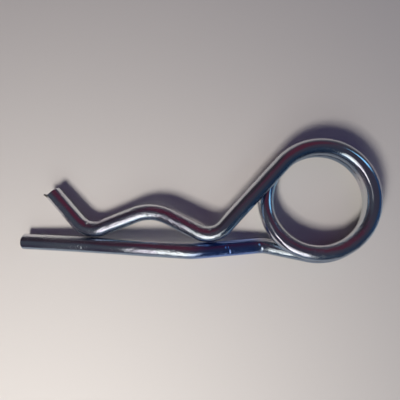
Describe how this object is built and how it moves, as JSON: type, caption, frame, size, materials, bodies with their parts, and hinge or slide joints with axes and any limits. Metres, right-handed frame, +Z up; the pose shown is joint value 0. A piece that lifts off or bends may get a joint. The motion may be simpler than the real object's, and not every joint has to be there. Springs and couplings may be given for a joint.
{
  "type": "double coil R clip",
  "caption": "Spring wire retaining clip: a straight leg enters a shaft's cross hole, a waved arm grips the shaft, and a double coil is its spring and pull eye.",
  "frame": {"origin": "middle of the clip's footprint, on the surface it lies on", "axes": "+X along the leg from its free tip to the coil, +Y from the leg towards the waved arm, +Z up from the surface, along the coil's axis"},
  "size_m": [0.0912, 0.0314, 0.0089],
  "materials": {
    "zinc_wire": "bright zinc plating on drawn spring wire, near mirror-like with a blue cast, fine drawing marks and a few tool nicks"
  },
  "bodies": {
    "root": {"clip_wire": "zinc_wire"}
  },
  "joints": []
}
